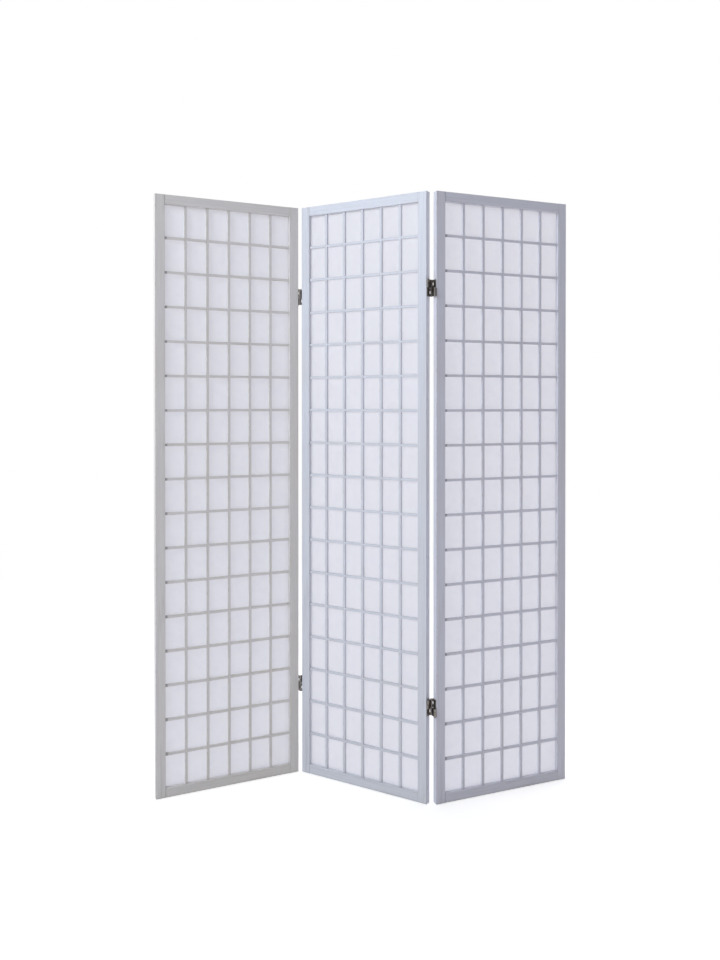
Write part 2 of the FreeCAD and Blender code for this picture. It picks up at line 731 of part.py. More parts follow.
def make_joint(side):
    """Both hinges between the centre panel and an outer one."""
    joins_left = side == "left"
    left_panel = PANELS["left"] if joins_left else PANELS["centre"]
    right_panel = PANELS["centre"] if joins_left else PANELS["right"]
    width = size["panel_width"]
    # At rest the left joint is folded at the front, so its upper link lies along the centre
    # panel and its lower link along the left one.  The right joint is folded at the back, and
    # its upper link lies along the centre panel too.
    gap = size["hinge_gap"]
    along_left = left_panel * Placement(Vector(width, 0, 0), Rotation())
    along_right = right_panel * Placement(Vector(-gap, 0, 0), Rotation())
    upper_place = along_right if joins_left else along_left
    lower_place = along_left if joins_left else along_right
    upside_down = Rotation(Vector(0, 1, 0), 180)
    open_depth = FRONT_AXIS if joins_left else REAR_AXIS
    held_depth = REAR_AXIS if joins_left else FRONT_AXIS

    upper_pins = []
    lower_pins = []
    pin_ends = []
    left_screws = []
    right_screws = []
    screw_points = [(value(depth), value(up)) for depth, up in SCREW_PLACES]
    for level, height in HINGE_HEIGHTS.items():
        up = Placement(Vector(0, 0, height), Rotation())
        label = f"{side}_{level}_hinge"
        left_leaf = left_panel * Placement(Vector(width, 0, height), Rotation())
        turned = Placement(Vector(0, size["panel_thickness"], height), TURNED)
        right_leaf = right_panel * turned
        outer, inner = (left_leaf, right_leaf) if joins_left else (right_leaf, left_leaf)
        make_leaf(f"{label}_outer_leaf", outer)
        make_leaf(f"{label}_centre_leaf", inner)

        flipped = Placement(Vector(gap, 0, height), upside_down)
        make_link(f"{label}_upper_link", upper_place * up)
        make_link(f"{label}_lower_link", lower_place * flipped)

        for end, depth in (("front", FRONT_AXIS), ("rear", REAR_AXIS)):
            placed = pin(f"{label}_upper_{end}_pin", depth, WHOLE_HALF)
            upper_pins.append((placed, up))
        lower_pins.append((pin(f"{label}_lower_pin", held_depth, WHOLE_HALF), flipped))
        lower_pins.append((pin(f"{label}_open_pin", open_depth, LINK_KNUCKLE), flipped))
        for end, span in (("low", LOW_LEAF_KNUCKLE), ("high", HIGH_LEAF_KNUCKLE)):
            pin_ends.append((pin(f"{label}_open_pin_{end}", open_depth, span), flipped))

        for (depth, rise), angle in zip(screw_points, SCREW_TURNS):
            spin = Rotation(Vector(1, 0, 0), angle)
            here = Placement(Vector(0, depth, rise), spin)
            left_screws.append(left_leaf * here)
            right_screws.append(right_leaf * here)

    def placed_group(name, members, placement):
        """Pins drawn in the hinge's frame, lifted to their hinge and grouped."""
        doc.recompute()
        linked = []
        for master, lift in members:
            link = doc.addObject("App::Link", f"{master.Name}_placed")
            link.LinkedObject = master
            link.Placement = lift
            link.LinkTransform = True
            linked.append(link)
        finish(group(name, linked), name, placement)

    placed_group(f"{side}_upper_link_pins", upper_pins, upper_place)
    placed_group(f"{side}_lower_link_pins", lower_pins, lower_place)
    centre_frame = along_right if joins_left else along_left
    placed_group(f"{side}_open_pin_ends", pin_ends, centre_frame)

    outer_screws, inner_screws = ((left_screws, right_screws) if joins_left
                                  else (right_screws, left_screws))
    for which, places in (("outer", outer_screws), ("centre", inner_screws)):
        name = f"{side}_{which}_leaf_screws"
        finish(copies(name, screw, places), name, Placement())


# ---------------------------------------------------------------- build, check and write

make_panel("left", left_hinged=False, right_hinged=True)
make_panel("centre", left_hinged=True, right_hinged=True)
make_panel("right", left_hinged=True, right_hinged=False)
screw = make_screw_master()
make_joint("left")
make_joint("right")
doc.recompute()

for item in doc.Objects:
    if "Invalid" in item.State or "Error" in item.State:
        raise ValueError(f"{item.Name} failed: {item.State}")
for item in parts:
    if item.Shape.isNull() or not item.Shape.isValid():
        raise ValueError(f"{item.Label} has no valid shape")

os.makedirs("parts", exist_ok=True)
whole = FreeCAD.BoundBox()
for item in parts:
    item.Shape.exportStep(f"parts/{item.Label}.step")
    whole.add(item.Shape.BoundBox)
    print(f"{item.Label:36s} {len(item.Shape.Solids):3d} solids {item.Shape.Volume / 1000:9.2f} cm3")
print(len(parts), "nodes")
print("box", [round(v, 3) for v in (whole.XMin, whole.XMax, whole.YMin, whole.YMax, whole.ZMin,
                                   whole.ZMax)])
for name, place in PANELS.items():
    print(name, "panel corner", [round(v, 3) for v in place.Base],
          "heading", round(math.degrees(place.Rotation.Angle) * place.Rotation.Axis.z, 3))
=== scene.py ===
# %% [markdown]
# # A three-panel folding screen
# The real thing is a light room divider: three frames of painted wood, each with a fine lattice
# and white paper behind it, joined by double-action hinges so that it folds both ways.  The
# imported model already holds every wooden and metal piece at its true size, so this lesson keeps
# those meshes and gives them their finishes.  Paper is thin and never quite flat, so the three
# sheets are made anew.

import math
import random

import bpy
from mathutils import Matrix, Vector


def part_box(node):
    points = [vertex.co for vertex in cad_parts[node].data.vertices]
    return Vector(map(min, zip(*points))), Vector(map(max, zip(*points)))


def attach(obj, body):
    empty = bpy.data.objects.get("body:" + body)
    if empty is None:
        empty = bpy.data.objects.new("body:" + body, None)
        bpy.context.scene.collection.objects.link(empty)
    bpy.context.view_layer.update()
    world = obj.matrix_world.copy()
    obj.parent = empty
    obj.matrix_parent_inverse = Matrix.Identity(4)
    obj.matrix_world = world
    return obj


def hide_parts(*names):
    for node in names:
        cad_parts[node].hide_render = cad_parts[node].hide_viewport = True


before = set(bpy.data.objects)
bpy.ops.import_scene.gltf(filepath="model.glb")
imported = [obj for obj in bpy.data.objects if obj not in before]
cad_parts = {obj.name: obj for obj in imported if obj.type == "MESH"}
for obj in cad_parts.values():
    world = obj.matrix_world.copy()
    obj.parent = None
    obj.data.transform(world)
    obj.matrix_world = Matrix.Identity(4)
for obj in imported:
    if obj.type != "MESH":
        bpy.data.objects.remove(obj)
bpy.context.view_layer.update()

# %% [markdown]
# ## Sizes of one panel
# The three panels are the same joinery turned to three headings.  A pattern such as wood grain
# has to follow its own board, so every finish below works in a panel's own millimetres: x along
# its width, y from its front face to its back, z up from the floor.  The headings are how the
# screen stands; each panel's front left foot is then read from its left stile's box.

# %% Panel sizes, in millimetres, and where each panel stands
PANEL_WIDTH, PANEL_HEIGHT, PANEL_DEPTH = 440.0, 1750.0, 20.0
FRAME_WIDTH = 28.0
BAR_WIDTH, BAR_FRONT, BAR_BACK = 7.0, 3.0, 10.0
COLUMNS, ROWS = 6, 17
REBATE = 8.0
BEAD_FRONT, BEAD_BACK = 10.5, 16.5
OPENING_WIDTH = PANEL_WIDTH - 2 * FRAME_WIDTH
OPENING_HEIGHT = PANEL_HEIGHT - 2 * FRAME_WIDTH
CELL_WIDTH = (OPENING_WIDTH - (COLUMNS - 1) * BAR_WIDTH) / COLUMNS
CELL_HEIGHT = (OPENING_HEIGHT - (ROWS - 1) * BAR_WIDTH) / ROWS
HEADINGS = {"left": math.radians(26), "centre": math.radians(-32), "right": math.radians(23)}


def panel_corner(side):
    """The front left foot of a panel, in metres."""
    low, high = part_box(f"{side}_panel_left_stile")
    depth = PANEL_DEPTH / 1000
    heading = HEADINGS[side]
    if heading > 0:
        return Vector((low.x + depth * math.sin(heading), low.y, 0))
    return Vector((low.x, high.y - depth * math.cos(heading), 0))


CORNERS = {side: panel_corner(side) for side in HEADINGS}
for side, corner in CORNERS.items():
    print(side, "stands at", [round(v, 4) for v in corner])


# %% [markdown]
# ## Helpers for materials
# A node tree is a recipe, and writing one out is mostly adding a node, setting it and wiring it.
# One small function does that, and gives back the output that the next node needs.  Colours are
# given the way a paint card gives them, as sRGB hex, and turned to the linear values that a
# renderer adds and multiplies.

# %% Colours and nodes
def linear(hex_colour):
    """An sRGB hex colour as linear red, green, blue and a full alpha."""
    parts = [int(hex_colour[i:i + 2], 16) / 255 for i in (1, 3, 5)]
    return [v / 12.92 if v <= 0.04045 else ((v + 0.055) / 1.055) ** 2.4 for v in parts] + [1.0]


def add_node(tree, kind, inputs=None, output=0, **settings):
    """Add a node, set its properties, fill its inputs with values or links, and give one output."""
    made = tree.nodes.new("ShaderNode" + kind)
    for name, value in settings.items():
        setattr(made, name, value)
    for name, value in (inputs or {}).items():
        if isinstance(value, bpy.types.NodeSocket):
            tree.links.new(value, made.inputs[name])
        else:
            made.inputs[name].default_value = value
    return made.outputs[output] if made.outputs else made


def new_material(name):
    """An empty material and its node tree, ready for a recipe."""
    material = bpy.data.materials.new(name)
    material.use_nodes = True
    material.node_tree.nodes.clear()
    return material, material.node_tree


print("white is", [round(v, 3) for v in linear("#FFFFFF")])

# %% [markdown]
# ## Where a pattern sits
# Wood grain runs along its board and paper clouds don't run at all.  Both start from the surface's
# point in its own panel's millimetres; a pattern that should run is then squeezed in one
# direction, which draws it out.  A colour is built the way a painter does it, one layer over the
# last, each with its own share.

# %% Points, directions and layers
SMOOTH = {"interpolation_type": "SMOOTHSTEP"}


def panel_millimetres(tree, side):
    """The surface's point in a panel's own frame, in millimetres."""
    turn = Matrix.Rotation(-HEADINGS[side], 4, "Z")
    shift = turn @ (CORNERS[side] * -1000)
    place = add_node(tree, "TexCoord", output="Object")
    return add_node(tree, "Mapping", {
        "Vector": place, "Location": shift, "Rotation": (0, 0, -HEADINGS[side]),
        "Scale": (1000, 1000, 1000)})


def drawn_out(along, factor):
    """The scale that makes a pattern run factor times as far in one direction."""
    return [1 / factor if axis == along else 1 for axis in "XYZ"]


def layered(tree, colour, layers):
    """A colour with others laid over it in turn, each by its own share from 0 to 1."""
    for share, coat in layers:
        colour = add_node(tree, "Mix", {0: share, 6: colour, 7: linear(coat)}, 2, data_type="RGBA")
    return colour


print("a pattern drawn out 20 times along Z is scaled by", drawn_out("Z", 20))

# %% [markdown]
# ## Painted wood
# The frames and the lattice are softwood with two brushed coats of satin water-based white.  What
# the eye gets from that: fine brush marks along each board, the grain showing through as soft
# streaks, tiny open pores, a slightly cloudy white, and thin paint on every sharp edge where
# sanding and handling have rubbed it.  An edge is found from the board's own sizes, which a mesh
# of loose triangles can't tell.

# %% The whites, and what has happened to them
PAINT = "#DAD9DE"          # satin white with a touch of blue grey
PAINT_THICK = "#E2E1E6"    # where the brush left more of it
PAINT_THIN = "#C6C4C6"     # where grain and primer show through
PAINT_WARM = "#D8D4D3"     # cloudy patches of an older coat
PAINT_RUBBED = "#B9B0A6"   # bare edges with the wood just showing
SEAM_AND_CORNER_SHADE = "#5E5C60"      # the shadow line of a joint between two boards, and the painted shade in a crossbar's corner
SCUFF_GREY = "#8E8C8C"     # floor dirt at the feet
PANEL_LIGHT_TINT = {"left": "#FDFAF2", "centre": "#F7FBFF", "right": "#F6F8FE"}   # painted light: each panel's white tinted for the light on it, warmer and lighter on the left, cooler in the middle and darker on the right
PAINT_IOR = 1.5
SEAM_WIDTH = 0.9           # mm; a real joint line is 0.3 mm and is drawn wider to show
EDGE_WEAR = 1.6            # mm of rubbed paint on each side of an edge
WEAR_PATCH = 14.0          # mm across a patch of wear
SCUFF_HEIGHT = 7.0         # mm above the floor
SCUFF_SPOT = 5.0           # mm across a spot of dirt
SHADE_LENGTH = 9.0          # mm of a crossbar darkened by painted shade, from the stile that it enters
CORNER_PAINTED_SHADE = {"left": 0.48, "centre": 0.0, "right": 0.5}   # painted shade where the stile shades a crossbar's first end; none on the middle panel

# how many times longer than wide each pattern is, its width in mm, its detail and its wander
BRUSHWORK = {
    "marks": (70, 3.0, 3, 0.0),        # brush marks 3 mm apart and 200 mm long
    "bristles": (150, 0.5, 2, 0.0),    # one bristle's track, kept for the relief
    "grain": (22, 9.0, 4, 0.6),        # softwood grain showing through
    "cloud": (3, 120.0, 2, 0.0),       # an uneven older coat
    "pores": (16, 0.7, 1, 0.0),        # open pores, real ones 0.1 mm wide
}
print("patterns in the paint:", ", ".join(BRUSHWORK))


# %% How near an edge is
def board_edges(tree, across, depth, board):
    """How near the surface is to a long edge of its board, in millimetres."""
    first, pitch, width, front, back = board
    past_first = add_node(tree, "Math", {0: across, 1: first}, operation="SUBTRACT")
    into = add_node(tree, "Math", {0: past_first, 1: pitch}, operation="FLOORED_MODULO")
    distances = []
    for place, low, high in ((into, 0.0, width), (depth, front, back)):
        from_low = add_node(tree, "Math", {0: place, 1: low}, operation="SUBTRACT")
        from_high = add_node(tree, "Math", {0: high, 1: place}, operation="SUBTRACT")
        nearer = add_node(tree, "Math", {0: from_low, 1: from_high}, operation="MINIMUM")
        distances.append(add_node(tree, "Math", {0: nearer, 1: 0.0}, operation="MAXIMUM"))
    return add_node(tree, "Math", {0: distances[0], 1: distances[1]}, operation="ADD")


def rubbed_edges(tree, point, across, depth, board):
    """How far the paint is worn through, patchily and only along the edges."""
    near = add_node(tree, "MapRange", {
        "Value": board_edges(tree, across, depth, board),
        "From Max": EDGE_WEAR, "To Min": 1.0, "To Max": 0.0}, **SMOOTH)
    patchy = add_node(tree, "TexNoise", {"Vector": point, "Scale": 1 / WEAR_PATCH, "Detail": 3})
    patch = add_node(tree, "MapRange", {
        "Value": patchy, "From Min": 0.42, "From Max": 0.68, "To Min": 0.12, "To Max": 0.75}, **SMOOTH)
    return add_node(tree, "Math", {0: near, 1: patch}, operation="MULTIPLY")


print("edges are rubbed over", EDGE_WEAR, "mm")


# %% Joint lines, painted corner shade and scuffs
def joint_lines(tree, length, ends):
    """A thin dark line where a board meets the next one."""
    from_first = add_node(tree, "Math", {0: length, 1: ends[0]}, operation="SUBTRACT")
    from_last = add_node(tree, "Math", {0: ends[1], 1: length}, operation="SUBTRACT")
    nearer = add_node(tree, "Math", {0: from_first, 1: from_last}, operation="MINIMUM")
    gap = add_node(tree, "Math", {0: nearer}, operation="ABSOLUTE")
    return add_node(tree, "MapRange", {
        "Value": gap, "From Max": SEAM_WIDTH, "To Min": 0.75, "To Max": 0.0}, **SMOOTH)


def corner_shade(tree, length, start, most):
    """Painted shade in the corner where a crossbar enters its stile and the stile shades it."""
    past = add_node(tree, "Math", {0: length, 1: start}, operation="SUBTRACT")
    return add_node(tree, "MapRange", {
        "Value": past, "From Min": SHADE_LENGTH / 2, "From Max": SHADE_LENGTH,
        "To Min": most, "To Max": 0.0}, **SMOOTH)


def foot_scuffs(tree, point, height):
    """Floor dirt on the lowest few millimetres, in spots."""
    low = add_node(tree, "MapRange", {
        "Value": height, "From Max": SCUFF_HEIGHT, "To Min": 1.0, "To Max": 0.0}, **SMOOTH)
    spots = add_node(tree, "TexNoise", {"Vector": point, "Scale": 1 / SCUFF_SPOT, "Detail": 4})
    spot = add_node(tree, "MapRange", {
        "Value": spots, "From Min": 0.5, "From Max": 0.7, "To Min": 0.05, "To Max": 0.45}, **SMOOTH)
    return add_node(tree, "Math", {0: low, 1: spot}, operation="MULTIPLY")


print("joint lines", SEAM_WIDTH, "mm, scuffs up to", SCUFF_HEIGHT, "mm")


# %% The painted-wood recipe
def painted_wood(name, side, along, board, ends=None, corner_painted_shade=0.0):
    """Satin paint brushed along a board.

    board is its first edge, the step to the next like board, its width, its front and its back;
    ends are the two places along it where it meets another board, and the last argument is how
    much painted shade lies in the first of those corners, where the stile shades the crossbar.
    """
    material, tree = new_material(name)
    point = panel_millimetres(tree, side)
    parts = add_node(tree, "SeparateXYZ", {0: point}).node.outputs
    length, across = (parts["Z"], parts["X"]) if along == "Z" else (parts["X"], parts["Z"])

    patterns = {}
    for pattern, (run, width, detail, wander) in BRUSHWORK.items():
        running = add_node(tree, "Mapping", {"Vector": point, "Scale": drawn_out(along, run)})
        patterns[pattern] = add_node(tree, "TexNoise", {
            "Vector": running, "Scale": 1 / width, "Detail": detail, "Distortion": wander})
    marks, grain, cloud = patterns["marks"], patterns["grain"], patterns["cloud"]
    thick = add_node(tree, "MapRange", {"Value": marks, "From Min": 0.35, "From Max": 0.7}, **SMOOTH)
    thin = add_node(tree, "MapRange", {
        "Value": grain, "From Min": 0.52, "From Max": 0.78, "To Max": 0.55}, **SMOOTH)
    warm = add_node(tree, "MapRange", {
        "Value": cloud, "From Min": 0.45, "From Max": 0.75, "To Max": 0.6}, **SMOOTH)
    pores = add_node(tree, "MapRange", {
        "Value": patterns["pores"], "From Min": 0.66, "From Max": 0.74}, **SMOOTH)
    pore_share = add_node(tree, "Math", {0: pores, 1: 0.3}, operation="MULTIPLY")
    worn = rubbed_edges(tree, point, across, parts["Y"], board)

    layers = [(thick, PAINT_THICK), (thin, PAINT_THIN), (warm, PAINT_WARM), (pore_share, PAINT_THIN),
              (worn, PAINT_RUBBED)]
    if ends:
        layers.append((joint_lines(tree, length, ends), SEAM_AND_CORNER_SHADE))
    # painted shade at a crossbar's first end, where the stile shades it
    if corner_painted_shade:
        layers.append((corner_shade(tree, length, ends[0], corner_painted_shade), SEAM_AND_CORNER_SHADE))
    layers.append((foot_scuffs(tree, point, parts["Z"]), SCUFF_GREY))
    white = layered(tree, linear(PAINT), layers)
    # each panel's paint multiplied by its painted-light tint
    colour = add_node(tree, "Mix", {0: 1.0, 6: white, 7: linear(PANEL_LIGHT_TINT[side])}, 2,
                      data_type="RGBA", blend_type="MULTIPLY")

    ridges = add_node(tree, "Math", {0: marks, 1: 0.6}, operation="MULTIPLY")
    relief = add_node(tree, "Math", {0: patterns["bristles"], 1: 0.4, 2: ridges},
                      operation="MULTIPLY_ADD")
    relief = add_node(tree, "Math", {0: pores, 1: -0.5, 2: relief}, operation="MULTIPLY_ADD")
    bump = add_node(tree, "Bump", {"Height": relief, "Strength": 0.5, "Distance": 0.00012})
    dry = add_node(tree, "Math", {0: marks, 1: worn}, operation="ADD")
    rough = add_node(tree, "MapRange", {
        "Value": dry, "From Min": 0.3, "From Max": 1.2, "To Min": 0.42, "To Max": 0.62}, **SMOOTH)
    shader = add_node(tree, "BsdfPrincipled", {
        "Base Color": colour, "Roughness": rough, "IOR": PAINT_IOR, "Normal": bump})
    add_node(tree, "OutputMaterial", {"Surface": shader})
    return material


def paint(node, material):
    """Give a CAD node its finish in its first material slot."""
    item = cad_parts[node]
    item.data.materials.clear()
    item.data.materials.append(material)


print("paint recipe ready, index of refraction", PAINT_IOR)

# %% [markdown]
# ## Painting the boards
# Each kind of board is told to the recipe by where its first edge lies, how far on the next board
# of that kind is, how wide it is and where its faces are.  All five uprights of a lattice then
# share one finish, and so do its sixteen crossbars.

# %% Paint the stiles, rails, lattice and beads of every panel
RIGHT_INNER = PANEL_WIDTH - FRAME_WIDTH
TOP_INNER = PANEL_HEIGHT - FRAME_WIDTH
STILES = (0.0, RIGHT_INNER, FRAME_WIDTH, 0.0, PANEL_DEPTH)
RAILS = (0.0, TOP_INNER, FRAME_WIDTH, 0.0, PANEL_DEPTH)
UPRIGHTS = (FRAME_WIDTH + CELL_WIDTH, CELL_WIDTH + BAR_WIDTH, BAR_WIDTH, BAR_FRONT, BAR_BACK)
CROSSBARS = (FRAME_WIDTH + CELL_HEIGHT, CELL_HEIGHT + BAR_WIDTH, BAR_WIDTH, BAR_FRONT, BAR_BACK)
BEAD_FIRST = FRAME_WIDTH - REBATE
SIDE_BEADS = (BEAD_FIRST, RIGHT_INNER - BEAD_FIRST, REBATE, BEAD_FRONT, BEAD_BACK)
END_BEADS = (BEAD_FIRST, TOP_INNER - BEAD_FIRST, REBATE, BEAD_FRONT, BEAD_BACK)
INSIDE_X = (FRAME_WIDTH, RIGHT_INNER)
INSIDE_Z = (FRAME_WIDTH, TOP_INNER)

for side in HEADINGS:
    finishes = {
        ("left_stile", "right_stile"): painted_wood(f"satin_paint_{side}_stiles", side, "Z", STILES),
        ("bottom_rail", "top_rail"): painted_wood(f"satin_paint_{side}_rails", side, "X", RAILS,
                                                  INSIDE_X),
        ("vertical_bars",): painted_wood(f"satin_paint_{side}_uprights", side, "Z", UPRIGHTS, INSIDE_Z),
        ("horizontal_bars",): painted_wood(f"satin_paint_{side}_crossbars", side, "X", CROSSBARS,
                                           INSIDE_X, CORNER_PAINTED_SHADE[side]),
        ("side_beads",): painted_wood(f"satin_paint_{side}_side_beads", side, "Z", SIDE_BEADS, INSIDE_Z),
        ("end_beads",): painted_wood(f"satin_paint_{side}_end_beads", side, "X", END_BEADS, INSIDE_X),
    }
    for pieces, material in finishes.items():
        for piece in pieces:
            paint(f"{side}_panel_{piece}", material)
print("painted", len(HEADINGS) * 8, "wooden pieces")

# %% [markdown]
# ## Shoji paper
# Shoji paper is a thin, strong sheet of bleached plant fibre, smooth and matt.  A real sheet lets
# about a third of the light through; these pass more, because the studio behind them is dimmer
# than a window.  Against the light the paper shows faint clouds where the pulp lies thicker, and
# a few longer strands.  Its finish mixes a matt face with a translucent one.

# %% The paper's finish
PAPER_WHITE = "#F4F4F5"
PAPER_CLOUD = "#F2F2F4"    # thicker pulp
PAPER_STRAND = "#E0DFE0"   # single long fibres
CLOUD_SIZE = 18.0          # mm
STRAND_WANDER = 26.0       # mm between a strand's turns
STRAND_BREAK = 9.0         # mm between the places where it surfaces
STRAND_BAND = 0.004        # of the noise's height, on either side of the strand's line
FLECK_SIZE = 1.1           # mm of the fine tooth of the sheet
# share of each face's light that goes on through, a little different for each sheet
THROUGH_SHARE = {"left": 0.69, "centre": 0.75, "right": 0.79}


def strands(tree, point):
    """Long fibres, 0.2 mm wide in a real sheet and drawn as 0.6 mm so that they show."""
    wander = add_node(tree, "TexNoise", {
        "Vector": point, "Scale": 1 / STRAND_WANDER, "Detail": 1, "Distortion": 1.5})
    off_line = add_node(tree, "Math", {0: wander, 1: 0.5}, operation="SUBTRACT")
    distance = add_node(tree, "Math", {0: off_line}, operation="ABSOLUTE")
    line = add_node(tree, "MapRange", {
        "Value": distance, "From Max": STRAND_BAND, "To Min": 1.0, "To Max": 0.0}, **SMOOTH)
    breaks = add_node(tree, "TexNoise", {"Vector": point, "Scale": 1 / STRAND_BREAK, "Detail": 1})
    kept = add_node(tree, "MapRange", {"Value": breaks, "From Min": 0.62, "From Max": 0.7}, **SMOOTH)
    return add_node(tree, "Math", {0: line, 1: kept}, operation="MULTIPLY")


def shoji_paper(side):
    """Bleached fibre paper with light coming through it."""
    material, tree = new_material(f"shoji_paper_{side}")
    point = panel_millimetres(tree, side)
    pulp = add_node(tree, "TexNoise", {"Vector": point, "Scale": 1 / CLOUD_SIZE, "Detail": 4})
    cloud = add_node(tree, "MapRange", {"Value": pulp, "From Min": 0.4, "From Max": 0.75}, **SMOOTH)
    strand = strands(tree, point)
    faint = add_node(tree, "Math", {0: strand, 1: 0.5}, operation="MULTIPLY")
    colour = layered(tree, linear(PAPER_WHITE), [(cloud, PAPER_CLOUD), (faint, PAPER_STRAND)])
    tooth = add_node(tree, "TexNoise", {"Vector": point, "Scale": 1 / FLECK_SIZE})
    fleck = add_node(tree, "MapRange", {"Value": tooth, "From Min": 0.35, "From Max": 0.7}, **SMOOTH)
    relief = add_node(tree, "Math", {0: fleck, 1: 0.6, 2: strand}, operation="MULTIPLY_ADD")
    bump = add_node(tree, "Bump", {"Height": relief, "Strength": 0.35, "Distance": 0.00006})
    face = add_node(tree, "BsdfPrincipled", {
        "Base Color": colour, "Roughness": 0.85, "Specular IOR Level": 0.25, "Normal": bump})
    through = add_node(tree, "BsdfTranslucent", {"Color": colour, "Normal": bump})
    both = add_node(tree, "MixShader", {0: THROUGH_SHARE[side], 1: face, 2: through})
    add_node(tree, "OutputMaterial", {"Surface": both})
    return material


print("paper lets through", THROUGH_SHARE)

# %% [markdown]
# ## The sheets themselves
# The paper is glued to the lattice, so it stays flat over the bars and is a hair slack in each
# opening.  Each sheet starts as a flat grid at the cut size, stood up in its panel.  Every vertex
# over an opening hangs back by an amount drawn for that opening, and Solidify gives the paper its
# thickness.  A grid is the right start, because its small faces let every opening sag to its own
# depth; some hundred and fifty to an opening are plenty for a sag of less than a millimetre.

# %% The three sheets
PAPER_LAP = 7.0                                # mm of paper beyond the opening on every side
PAPER_WIDTH = OPENING_WIDTH + 2 * PAPER_LAP
PAPER_HEIGHT = OPENING_HEIGHT + 2 * PAPER_LAP
PAPER_FACE, PAPER_THICKNESS = 10.06, 0.3       # mm behind the panel's front, and thick
GRID_ACROSS, GRID_UP = 72, 228
SLACK_LEAST, SLACK_MOST = 0.25, 0.85           # mm that an opening sags towards the back
SAG_ROUNDNESS = 0.75                           # under 1, so that the sag is fuller than a sine
SAG_SEED = 41                                  # the same openings hang slack in every run
CREASE_ANGLE = math.radians(40)


def only(item):
    """Select and activate one object, with nothing else selected."""
    bpy.ops.object.select_all(action="DESELECT")
    item.select_set(True)
    bpy.context.view_layer.objects.active = item


def cell_place(value, cell):
    """Which opening a distance falls in, and how far across it from 0 to 1."""
    number, into = divmod(value - FRAME_WIDTH, cell + BAR_WIDTH)
    return int(number), min(max(into / cell, 0.0), 1.0)


def sag(x, z, depths):
    """How far the sheet hangs back at a point of the panel, in millimetres."""
    column, across = cell_place(x, CELL_WIDTH)
    row, up = cell_place(z, CELL_HEIGHT)
    if not (0 <= column < COLUMNS and 0 <= row < ROWS):
        return 0.0
    return depths[row][column] * (math.sin(math.pi * across) * math.sin(math.pi * up)) ** SAG_ROUNDNESS


def paper_sheet(side, draw):
    """One sheet of paper, slack in its openings, standing in its panel."""
    bpy.ops.object.select_all(action="DESELECT")
    bpy.ops.mesh.primitive_grid_add(x_subdivisions=GRID_ACROSS, y_subdivisions=GRID_UP, size=1)
    sheet = bpy.context.object
    sheet.name = sheet.data.name = f"{side}_paper_sheet"
    bpy.ops.object.mode_set(mode="EDIT")
    bpy.ops.mesh.select_all(action="SELECT")
    bpy.ops.transform.resize(value=(PAPER_WIDTH, PAPER_HEIGHT, 1), center_override=(0, 0, 0))
    bpy.ops.object.mode_set(mode="OBJECT")
    depths = [[draw.uniform(SLACK_LEAST, SLACK_MOST) for _ in range(COLUMNS)] for _ in range(ROWS)]
    stand = Matrix.Translation(CORNERS[side]) @ Matrix.Rotation(HEADINGS[side], 4, "Z")
    for vertex in sheet.data.vertices:
        x = vertex.co.x + PANEL_WIDTH / 2
        z = vertex.co.y + PANEL_HEIGHT / 2
        y = PAPER_FACE + sag(x, z, depths)
        vertex.co = stand @ (Vector((x, y, z)) / 1000)
    # seen from the front, the grid's normals point forwards, so the thickness grows backwards
    only(sheet)
    solid = sheet.modifiers.new("thickness", "SOLIDIFY")
    solid.thickness = PAPER_THICKNESS / 1000
    solid.offset = -1
    bpy.ops.object.modifier_apply(modifier=solid.name)
    bpy.ops.object.shade_smooth_by_angle(angle=CREASE_ANGLE)
    sheet.data.materials.append(shoji_paper(side))
    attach(sheet, f"{side}_panel")
    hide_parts(f"{side}_panel_paper")
    print(sheet.name, len(sheet.data.polygons), "faces")


hand = random.Random(SAG_SEED)
for side in HEADINGS:
    paper_sheet(side, hand)

# %% [markdown]
# ## Hinge metal, pins, screws and nails
# The double-action hinges are pressed steel with an antique finish: plated, blackened in a bath
# and relieved on a soft wheel, so raised edges shine pewter grey while hollows stay nearly black
# with a little bronze left in them.  A Bevel node looks round each corner of the mesh, and where
# its normal differs from the face's own there is an edge to rub bright.

# %% The metals' colours
PEWTER = "#D6D5D1"         # plate rubbed bright
BRONZE = "#94877A"         # warm tone left in the bath's thinner places
BLACKENED = "#5F5D5B"      # the bath's full colour
NICKEL = "#8E8C87"
PLAIN_STEEL = "#8F9193"
PATCH_SIZE, SPECK_SIZE = 5.0, 0.7       # mm
SCRATCH_WIDTH, TARNISH_SPOT = 0.8, 3.0  # mm; real scratches are finer and wouldn't show
RUBBED_RADIUS = 0.5                     # mm in from each corner
MOST_RUBBED = 0.85                      # share of bright plate on a corner
LEAF_STAIN, LINK_STAIN = 0.36, 0.42     # where in the noise the bright specks begin


def millimetres(tree):
    """The surface's point in millimetres, in the screen's frame."""
    place = add_node(tree, "TexCoord", output="Object")
    return add_node(tree, "Mapping", {"Vector": place, "Scale": (1000, 1000, 1000)})


def edge_share(tree):
    """1 on corners of the mesh and 0 on its flats."""
    round_normal = add_node(tree, "Bevel", {"Radius": RUBBED_RADIUS / 1000}, samples=4)
    flat_normal = add_node(tree, "NewGeometry", output="True Normal")
    same = add_node(tree, "VectorMath", {0: round_normal, 1: flat_normal}, "Value",
                    operation="DOT_PRODUCT")
    return add_node(tree, "MapRange", {
        "Value": same, "From Min": 0.75, "From Max": 0.98, "To Min": 1.0, "To Max": 0.0}, **SMOOTH)


print("corners are rubbed within", RUBBED_RADIUS, "mm")


